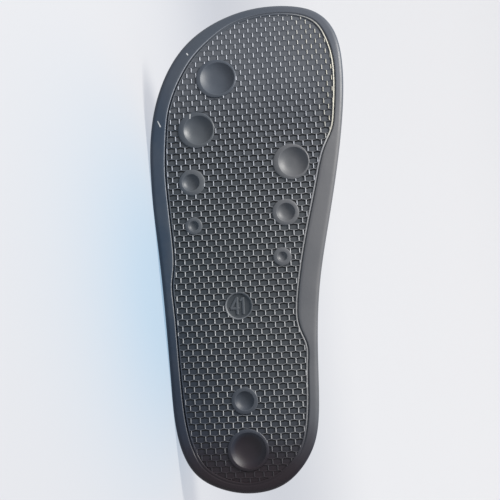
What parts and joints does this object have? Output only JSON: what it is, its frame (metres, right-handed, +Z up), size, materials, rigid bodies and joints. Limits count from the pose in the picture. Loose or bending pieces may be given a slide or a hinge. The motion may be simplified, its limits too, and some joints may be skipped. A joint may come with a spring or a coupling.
{
  "type": "slide sandal",
  "caption": "Right sport slide sandal lying on its side: moulded sole with a brick-pattern tread and round dishes, contoured footbed and a wide instep band.",
  "frame": {"origin": "centre of the bounding box, on the floor that the side of the shoe lies on", "axes": "+X from toe to heel, +Y from the tread to the top of the instep, +Z up, from the lateral side that lies on the floor to the medial side"},
  "size_m": [0.268, 0.0836, 0.1134],
  "materials": {
    "sole": "matt moulded foam rubber, scuffed and dusty",
    "insole": "matt textured foam rubber",
    "strap": "matt grained synthetic leather"
  },
  "bodies": {
    "root": {"sole": "sole", "insole": "insole", "strap": "strap"}
  },
  "joints": []
}
